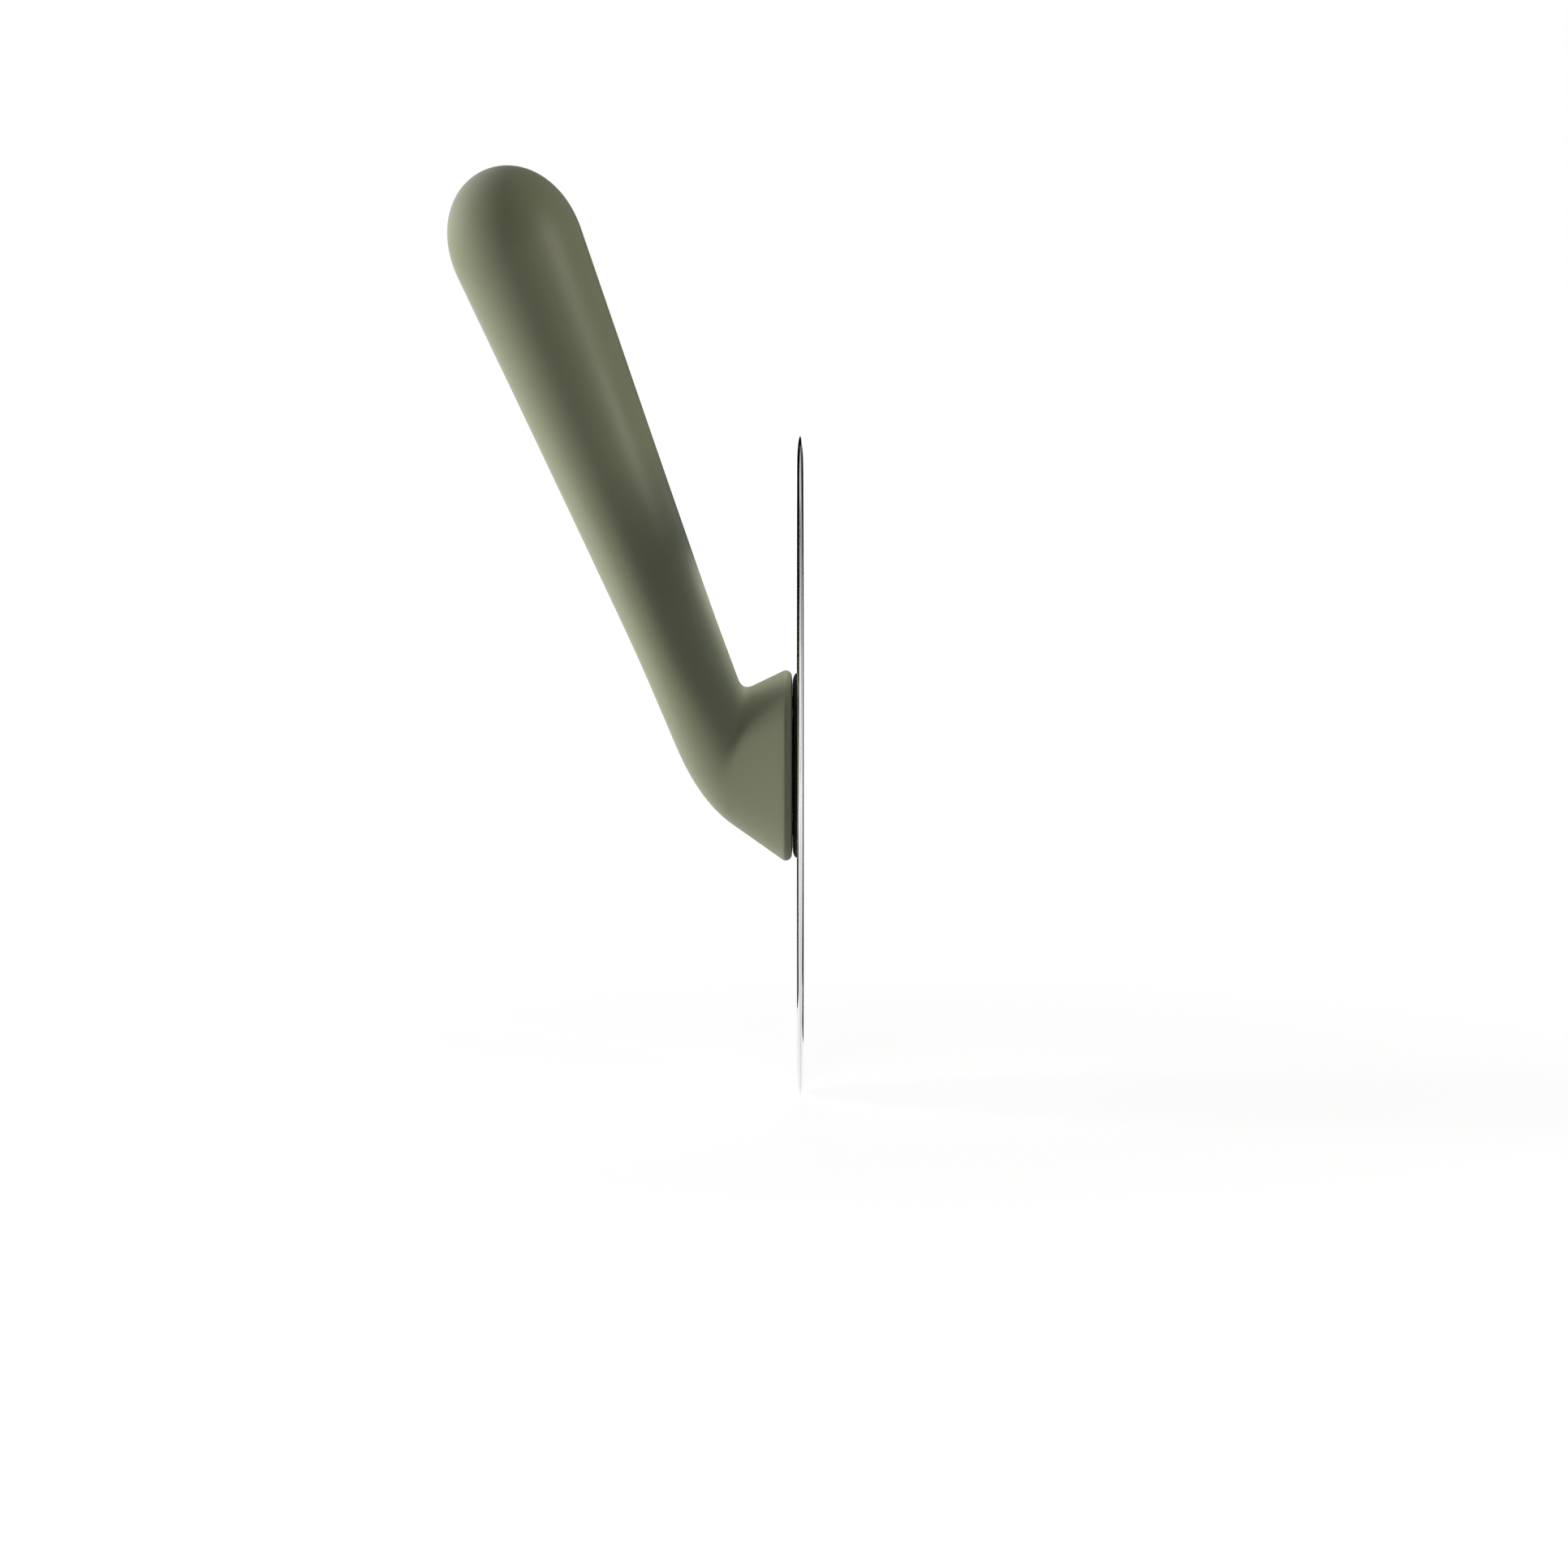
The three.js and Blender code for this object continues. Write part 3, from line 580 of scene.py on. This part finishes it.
def hub_grids():
    """Boss, mouth, bore and spigot in one turned profile, the drilled ring, and the flange's edge."""
    middle = rounded(
        (BLADE_THICKNESS, DRILLED_INNER, 0),
        (BLADE_THICKNESS, BOSS_RADIUS, 0),
        (0, BOSS_RADIUS, HUB_EDGE_BREAK),
        (0, HUB_MOUTH_RADIUS, HUB_EDGE_BREAK),
        (HUB_MOUTH_FLOOR, HUB_MOUTH_RADIUS, 0),
        (HUB_MOUTH_FLOOR, HUB_BORE_RADIUS, HUB_EDGE_BREAK),
        (SPIGOT_END, HUB_BORE_RADIUS, HUB_EDGE_BREAK),
        (SPIGOT_END, SPIGOT_RADIUS, HUB_EDGE_BREAK),
        (FLANGE_BACK, SPIGOT_RADIUS, 0),
        (FLANGE_BACK, DRILLED_INNER, 0),
    )
    flange = rounded(
        (FLANGE_BACK, DRILLED_OUTER, 0),
        (FLANGE_BACK, FLANGE_RADIUS, FLANGE_EDGE_BREAK),
        (BLADE_THICKNESS, FLANGE_RADIUS, FLANGE_EDGE_BREAK),
        (BLADE_THICKNESS, DRILLED_OUTER, 0),
    )
    hole = np.array([
        [FLANGE_BACK, RIVET_TAIL + RIVET_FIT],
        [FLANGE_BACK - RIVET_TAIL_DEPTH, RIVET_SHANK + RIVET_FIT],
        [BLADE_THICKNESS, RIVET_SHANK + RIVET_FIT],
    ])
    return [turned(middle, TURNED_COLUMNS), turned(flange, TURNED_COLUMNS), *drilled_quarters(hole)]


# Black acetal, moulded: deep black with a soft satin gloss and a fine grain on the flange.
black_acetal = new_material("black_acetal")
place = add_node(black_acetal, "TexCoord")
grain = add_node(black_acetal, "TexNoise", {
    "Vector": place.outputs["Object"], "Scale": per_metre(HUB_GRAIN), "Detail": 2.0,
})
satin = add_node(black_acetal, "MapRange", {
    "Value": grain.outputs["Fac"], "To Min": 0.52, "To Max": 0.62,
})
relief = add_node(black_acetal, "Bump", {
    "Height": grain.outputs["Fac"], "Strength": 0.2, "Distance": 0.00002,
})
shader = add_node(black_acetal, "BsdfPrincipled", {
    "Base Color": linear("#0c0c0c"), "Roughness": satin.outputs["Result"], "IOR": 1.48,
    "Normal": relief.outputs["Normal"],
})
add_node(black_acetal, "OutputMaterial", {"Surface": shader.outputs["BSDF"]})
make_piece("hub_moulding", hub_grids(), black_acetal, "hub", "wheel", "hub")


# Blade: the flat disc that cuts, ground thin on both sides towards its rim.
# Blanked from hardened stainless sheet, ground while it spins and polished on the bevels.

BLADE_RADIUS = 70.0
GRIND_WIDTH = 6.2
EDGE_THICKNESS = 0.06
BLADE_BORE = 6.8
BLADE_EDGE_BREAK = 0.12
BEVEL_ROWS = 40
FLAT_STEPS = 12
BEVEL_BLEND = 0.6
BRUSH_LINE = 0.22
BRUSH_LENGTH = 40.0


def blade_grids():
    """Bore, drilled ring and outer disc; both faces fall to the edge along an ellipse, so that at angle a
    the radius grows with sin(a) and half the thickness shrinks with cos(a)."""
    half = BLADE_THICKNESS / 2
    last = math.acos(EDGE_THICKNESS / BLADE_THICKNESS)
    angle = np.linspace(0, last, BEVEL_ROWS)
    bevel_radius = BLADE_RADIUS - GRIND_WIDTH * (1 - np.sin(angle) / math.sin(last))
    front = np.stack([half - half * np.cos(angle), bevel_radius], axis=-1)
    back = np.stack([half + half * np.cos(angle), bevel_radius], axis=-1)
    face = straight(np.array([0.0, DRILLED_OUTER]), front[0], FLAT_STEPS)[:-1]
    disc = np.concatenate([
        face + [BLADE_THICKNESS, 0], back, front[::-1], face[::-1],
    ])
    bore = rounded(
        (0, DRILLED_INNER, 0),
        (0, BLADE_BORE, BLADE_EDGE_BREAK),
        (BLADE_THICKNESS, BLADE_BORE, BLADE_EDGE_BREAK),
        (BLADE_THICKNESS, DRILLED_INNER, 0),
    )
    hole = np.array([
        [BLADE_THICKNESS, RIVET_SHANK + RIVET_FIT],
        [RIVET_HEAD_DEPTH, RIVET_SHANK + RIVET_FIT],
        [0, RIVET_HEAD + RIVET_FIT],
    ])
    return [turned(bore, TURNED_COLUMNS), turned(disc, TURNED_COLUMNS), *drilled_quarters(hole)]


# Ground stainless steel: fine rings from grinding on a spinning table, which draw out the highlights across
# the flat, and a smoother, brighter bevel. The lines, about 0.05 mm apart, are drawn at 0.22 mm to show.
ground_stainless = new_material("ground_stainless_steel")
place = add_node(ground_stainless, "TexCoord")
flat_place = add_node(ground_stainless, "VectorMath", {
    0: place.outputs["Object"], 1: (0.0, 1.0, 1.0),
}, operation="MULTIPLY")
radius = add_node(ground_stainless, "VectorMath", {0: flat_place.outputs[0]}, operation="LENGTH")
heading = add_node(ground_stainless, "VectorMath", {0: flat_place.outputs[0]}, operation="NORMALIZE")
outwards = add_node(ground_stainless, "CombineXYZ", {"X": radius.outputs["Value"]})
stretched = add_node(ground_stainless, "VectorMath", {
    0: heading.outputs[0], 1: (BLADE_RADIUS / BRUSH_LENGTH * BRUSH_LINE * MM,) * 3, 2: outwards.outputs[0],
}, operation="MULTIPLY_ADD")
brushing = add_node(ground_stainless, "TexNoise", {
    "Vector": stretched.outputs[0], "Scale": per_metre(BRUSH_LINE), "Detail": 3.0, "Roughness": 0.65,
})
bevel = add_node(ground_stainless, "MapRange", {
    "Value": radius.outputs["Value"],
    "From Min": (BLADE_RADIUS - GRIND_WIDTH) * MM,
    "From Max": (BLADE_RADIUS - GRIND_WIDTH + BEVEL_BLEND) * MM,
})
tint = add_node(ground_stainless, "Mix", {
    0: bevel.outputs["Result"], 6: linear("#cccfd1"), 7: linear("#d4d6d8"),
}, data_type="RGBA")
flat_gloss = add_node(ground_stainless, "MapRange", {
    "Value": brushing.outputs["Fac"], "From Min": 0.3, "From Max": 0.7, "To Min": 0.1, "To Max": 0.2,
})
bevel_gloss = add_node(ground_stainless, "MapRange", {
    "Value": brushing.outputs["Fac"], "From Min": 0.3, "From Max": 0.7, "To Min": 0.05, "To Max": 0.1,
})
gloss = add_node(ground_stainless, "Mix", {
    0: bevel.outputs["Result"], 2: flat_gloss.outputs["Result"], 3: bevel_gloss.outputs["Result"],
}, data_type="FLOAT")
relief = add_node(ground_stainless, "Bump", {
    "Height": brushing.outputs["Fac"], "Strength": 0.3, "Distance": 0.00001,
})
round_lines = add_node(ground_stainless, "Tangent", direction_type="RADIAL", axis="X")
shader = add_node(ground_stainless, "BsdfPrincipled", {
    "Base Color": tint.outputs[2], "Metallic": 1.0, "Roughness": gloss.outputs[0], "Anisotropic": 0.5,
    "Tangent": round_lines.outputs["Tangent"], "Normal": relief.outputs["Normal"],
})
add_node(ground_stainless, "OutputMaterial", {"Surface": shader.outputs["BSDF"]})
make_piece("blade_disc", blade_grids(), ground_stainless, "blade", "wheel", "blade")


# Rivets: four pins that clamp the blade on the hub's flange.
# Stainless wire, set in countersinks at both ends and ground flush with the blade.

RIVET_COLUMNS = 48
RIVET_EDGE_BREAK = 0.1
RIVET_SCRATCH = 0.15

# Stainless wire, ground flush: a little duller than the blade round it, with short cross scratches.
ground_rivet_steel = new_material("ground_rivet_steel")
place = add_node(ground_rivet_steel, "TexCoord")
stretch = add_node(ground_rivet_steel, "Mapping", {
    "Vector": place.outputs["Object"], "Scale": (1.0, 1.0, 0.1),
})
scratches = add_node(ground_rivet_steel, "TexNoise", {
    "Vector": stretch.outputs["Vector"], "Scale": per_metre(RIVET_SCRATCH), "Detail": 2.0,
})
dullness = add_node(ground_rivet_steel, "MapRange", {
    "Value": scratches.outputs["Fac"], "To Min": 0.26, "To Max": 0.44,
})
shader = add_node(ground_rivet_steel, "BsdfPrincipled", {
    "Base Color": linear("#b2b4b6"), "Metallic": 1.0, "Roughness": dullness.outputs["Result"],
})
add_node(ground_rivet_steel, "OutputMaterial", {"Surface": shader.outputs["BSDF"]})
rivet_profile = rounded(
    (0, 0, 0),
    (0, RIVET_HEAD, RIVET_EDGE_BREAK),
    (RIVET_HEAD_DEPTH, RIVET_SHANK, 0),
    (FLANGE_BACK - RIVET_TAIL_DEPTH, RIVET_SHANK, 0),
    (FLANGE_BACK, RIVET_TAIL, RIVET_EDGE_BREAK),
    (FLANGE_BACK, 0, 0),
)
for count, middle in enumerate(rivet_middles(), start=1):
    rivet = turned(rivet_profile, RIVET_COLUMNS, middle)
    make_piece(f"rivet_pin_{count}", [rivet], ground_rivet_steel, "rivet", "wheel", f"rivet_{count}")


# Hub cap: the flat cover that hides stud and ring and ends flush with the blade.
# Moulded from the hub's black acetal, with a skirt that snaps into the hub's mouth.

CAP_RADIUS = 5.53
CAP_THICKNESS = 1.0
CAP_SKIRT_DEPTH = 2.0
CAP_SKIRT_BORE = 4.8
CAP_EDGE_BREAK = 0.2
CAP_COLUMNS = 96

cap_profile = rounded(
    (0, 0, 0),
    (0, CAP_RADIUS, CAP_EDGE_BREAK),
    (CAP_SKIRT_DEPTH, CAP_RADIUS, CAP_EDGE_BREAK),
    (CAP_SKIRT_DEPTH, CAP_SKIRT_BORE, CAP_EDGE_BREAK),
    (CAP_THICKNESS, CAP_SKIRT_BORE, 0),
    (CAP_THICKNESS, 0, 0),
)
make_piece("cap_cover", [turned(cap_profile, CAP_COLUMNS)], black_acetal, "hub", "wheel", "hub_cap")


# Floor: a wide sheet of white paper that the wheel stands on.
# It shows as the white of the sky and keeps the object's soft shadow.

FLOOR_REACH = 3.0
FLOOR_GAP = 0.0001

floor_mesh = bpy.data.meshes.new("studio_floor")
floor_corners = np.array([[-1, -1], [1, -1], [1, 1], [-1, 1]]) * FLOOR_REACH
floor_level = cad_box[0].z - FLOOR_GAP
floor_mesh.from_pydata([(x, y, floor_level) for x, y in floor_corners.tolist()], [], [(0, 1, 2, 3)])
floor = bpy.data.objects.new("studio_floor", floor_mesh)
bpy.context.scene.collection.objects.link(floor)


def seen_directly(owner):
    """The light path node, and an output that is 1 where the camera, a reflection or a refraction looks and
    0 where light only falls on things."""
    path = add_node(owner, "LightPath")
    mirrored = add_node(owner, "Math", {
        0: path.outputs["Is Camera Ray"], 1: path.outputs["Is Glossy Ray"],
    }, operation="MAXIMUM")
    seen = add_node(owner, "Math", {
        0: mirrored.outputs["Value"], 1: path.outputs["Is Transmission Ray"],
    }, operation="MAXIMUM")
    return path, seen.outputs["Value"]


# White paper, matt: no gloss at all. It glows white for the camera and in reflections, and the glow is
# weaker near the object. That is a painted shade round it, where the real soft shadow also falls.
white_paper = new_material("matt_white_paper")
path, seen = seen_directly(white_paper)
place = add_node(white_paper, "TexCoord")
away = add_node(white_paper, "VectorMath", {0: place.outputs["Object"]}, operation="LENGTH")
# Painted shade: the floor's glow is 0.9 near the object and grows to 1.1 away from it.
painted_shade_fade = add_node(white_paper, "MapRange", {
    "Value": away.outputs["Value"], "From Min": 0.1, "From Max": 0.6, "To Min": 0.9, "To Max": 1.1,
}, interpolation_type="SMOOTHSTEP")
glow = add_node(white_paper, "Math", {0: seen, 1: painted_shade_fade.outputs["Result"]}, operation="MULTIPLY")
shader = add_node(white_paper, "BsdfPrincipled", {
    "Base Color": linear("#808080"), "Specular IOR Level": 0.0,
    "Emission Color": linear("#ffffff"), "Emission Strength": glow.outputs["Value"],
})
add_node(white_paper, "OutputMaterial", {"Surface": shader.outputs["BSDF"]})
floor_mesh.materials.append(white_paper)


# Sky: the white studio round the wheel. The camera sees plain white; reflections see a bright wall at the
# left and behind, less light at the right and a dark front, so that steel gets a light and a dark side.

sky = bpy.data.worlds.new("white_studio")
sky.use_nodes = True
sky.node_tree.nodes.clear()
path, seen = seen_directly(sky)
place = add_node(sky, "TexCoord")
axes = add_node(sky, "SeparateXYZ", {"Vector": place.outputs["Generated"]})
dark_front = add_node(sky, "MapRange", {
    "Value": axes.outputs["Y"], "From Min": -0.2, "From Max": 0.3, "To Min": 0.1, "To Max": 1.0,
})
left_wall = add_node(sky, "MapRange", {
    "Value": axes.outputs["X"], "From Min": -0.9, "From Max": -0.5, "To Min": 1.2, "To Max": 0.0,
})
dim_right = add_node(sky, "MapRange", {
    "Value": axes.outputs["X"], "From Min": -0.3, "From Max": 0.1, "To Min": 1.25, "To Max": 0.38,
})
back_wall = add_node(sky, "Math", {
    0: dark_front.outputs["Result"], 1: dim_right.outputs["Result"],
}, operation="MULTIPLY")
studio = add_node(sky, "Math", {0: back_wall.outputs["Value"], 1: left_wall.outputs["Result"]})
ambient = add_node(sky, "MapRange", {"Value": seen, "To Min": 0.035, "To Max": 1.0})
reflected = add_node(sky, "Math", {
    0: studio.outputs["Value"], 1: ambient.outputs["Result"],
}, operation="MULTIPLY")
strength = add_node(sky, "Math", {
    0: reflected.outputs["Value"], 1: path.outputs["Is Camera Ray"],
}, operation="MAXIMUM")
light = add_node(sky, "Background", {"Color": linear("#ffffff"), "Strength": strength.outputs["Value"]})
add_node(sky, "OutputWorld", {"Surface": light.outputs["Background"]})
bpy.context.scene.world = sky


# Lights: a softbox at the left and a low reflector under it, a tall softbox at the right, a weak one above,
# and a small panel by the blade that stands in for the light which the steel throws back.

LIGHT_MIDDLE = 0.03
BOUNCE_DEPTH = 0.005
BOUNCE_BEHIND = 0.016
BOUNCE_MIDDLE = 0.046
BOUNCE_TILT = math.radians(8)


def soft_panel(name, width, height, power, mirrored):
    """A rectangular soft light that the camera does not see; one not mirrored leaves no highlight."""
    lamp = bpy.data.lights.new(name, "AREA")
    lamp.shape = "RECTANGLE"
    lamp.size, lamp.size_y = width, height
    lamp.energy = power
    panel = bpy.data.objects.new(name, lamp)
    panel.visible_camera = False
    panel.visible_glossy = mirrored
    bpy.context.scene.collection.objects.link(panel)
    return panel


def aim(panel, bearing, lift, distance):
    """Stands a panel at a bearing round the wheel, 0 degrees at the camera and 90 at the right, at a lift
    above the level and a distance, and turns it to the wheel."""
    angle, rise = math.radians(bearing), math.radians(lift)
    away = distance * math.cos(rise)
    height = LIGHT_MIDDLE + distance * math.sin(rise)
    panel.location = (away * math.sin(angle), -away * math.cos(angle), height)
    panel.rotation_euler = (math.pi / 2 - rise, 0.0, angle)


left_softbox = soft_panel("left_softbox", width=0.4, height=0.5, power=30.0, mirrored=False)
aim(left_softbox, bearing=-96.0, lift=0.0, distance=1.5)
low_reflector = soft_panel("low_reflector", width=0.1, height=0.04, power=0.2, mirrored=False)
aim(low_reflector, bearing=-96.0, lift=-20.0, distance=0.22)
# The right softbox is slightly warm
right_softbox = soft_panel("right_softbox", width=0.5, height=2.0, power=18.8, mirrored=True)
right_softbox.data.color = linear("#fffff0")[:3]
aim(right_softbox, bearing=64.0, lift=0.0, distance=1.5)
top_softbox = soft_panel("top_softbox", width=0.6, height=0.6, power=3.1, mirrored=False)
aim(top_softbox, bearing=-10.0, lift=62.0, distance=1.5)
# The panel by the blade lies over the foot, close to the steel's inner face, and shines down
blade_bounce = soft_panel("blade_bounce", width=0.012, height=0.03, power=0.0165, mirrored=False)
blade_bounce.location = (-BOUNCE_DEPTH, BOUNCE_BEHIND, BOUNCE_MIDDLE)
blade_bounce.rotation_euler = (0.0, BOUNCE_TILT, 0.0)


# Cards: black flags that stand behind the wheel and that only reflections see.
# They give the polished rim of the blade its two dark lines.

FLAG_DISTANCE = 0.15
LOW_FLAG_DISTANCE = 0.085
FLAG_GAP = 0.0008
FLAG_SEAM = 0.0001
LEFT_FLAG_FOOT = 0.04
LEFT_FLAG_HEAD = 0.09
LEFT_FLAG_TOP = 0.07
RIGHT_FLAG_FOOT = 0.07
RIGHT_FLAG_HEAD = 0.05
RIGHT_FLAG_TOP = 0.06
UPPER_FLAG_LEFT = 0.06
UPPER_FLAG_TOP = 0.14
LOW_FLAG_WIDTH = 0.03
LOW_FLAG_TOP = -0.05

# Black felt: it swallows light, so that what mirrors it goes dark.
black_felt = new_material("black_felt")
felt = add_node(black_felt, "BsdfDiffuse", {"Color": linear("#101010")})
add_node(black_felt, "OutputMaterial", {"Surface": felt.outputs["BSDF"]})


def black_flag(name, distance, *corners):
    """A flat card at a distance behind the axle, with its corners as (x, z). It throws no shadow."""
    mesh = bpy.data.meshes.new(name)
    mesh.from_pydata([(x, distance, z) for x, z in corners], [], [(0, 1, 2, 3)])
    mesh.materials.append(black_felt)
    flag = bpy.data.objects.new(name, mesh)
    flag.visible_camera = False
    flag.visible_diffuse = False
    flag.visible_shadow = False
    bpy.context.scene.collection.objects.link(flag)


black_flag(
    "left_flag", FLAG_DISTANCE,
    (-LEFT_FLAG_FOOT, floor_level), (-FLAG_GAP, floor_level),
    (-FLAG_GAP, LEFT_FLAG_TOP), (-LEFT_FLAG_HEAD, LEFT_FLAG_TOP),
)
black_flag(
    "right_flag", FLAG_DISTANCE,
    (FLAG_GAP, floor_level), (RIGHT_FLAG_FOOT, floor_level),
    (RIGHT_FLAG_HEAD, RIGHT_FLAG_TOP), (FLAG_GAP, RIGHT_FLAG_TOP),
)
black_flag(
    "upper_flag", FLAG_DISTANCE,
    (-UPPER_FLAG_LEFT, LEFT_FLAG_TOP + FLAG_SEAM), (RIGHT_FLAG_HEAD, RIGHT_FLAG_TOP + FLAG_SEAM),
    (RIGHT_FLAG_HEAD, UPPER_FLAG_TOP), (-UPPER_FLAG_LEFT, UPPER_FLAG_TOP),
)
black_flag(
    "low_flag", LOW_FLAG_DISTANCE,
    (FLAG_GAP, floor_level), (LOW_FLAG_WIDTH, floor_level),
    (LOW_FLAG_WIDTH, LOW_FLAG_TOP), (FLAG_GAP, LOW_FLAG_TOP),
)


# Camera: a long lens that looks along the blade, slightly from above.
# The frame's width is the one that the lens takes in at the wheel.

CAMERA_ELEVATION = math.radians(5.5)
CAMERA_DISTANCE = 2.0
CAMERA_AIM = np.array([-4.09, 0.0, -3.96]) * MM
FRAME_WIDTH = 333.6 * MM
SENSOR = 36.0

camera = bpy.data.cameras.new("camera")
camera.sensor_width = SENSOR
camera.lens = SENSOR * CAMERA_DISTANCE / FRAME_WIDTH
view = bpy.data.objects.new("camera", camera)
towards_camera = np.array([0.0, -math.cos(CAMERA_ELEVATION), math.sin(CAMERA_ELEVATION)])
view.location = CAMERA_AIM + CAMERA_DISTANCE * towards_camera
view.rotation_euler = (math.pi / 2 - CAMERA_ELEVATION, 0.0, 0.0)
bpy.context.scene.collection.objects.link(view)
bpy.context.scene.camera = view
bpy.context.scene.view_settings.view_transform = "Standard"
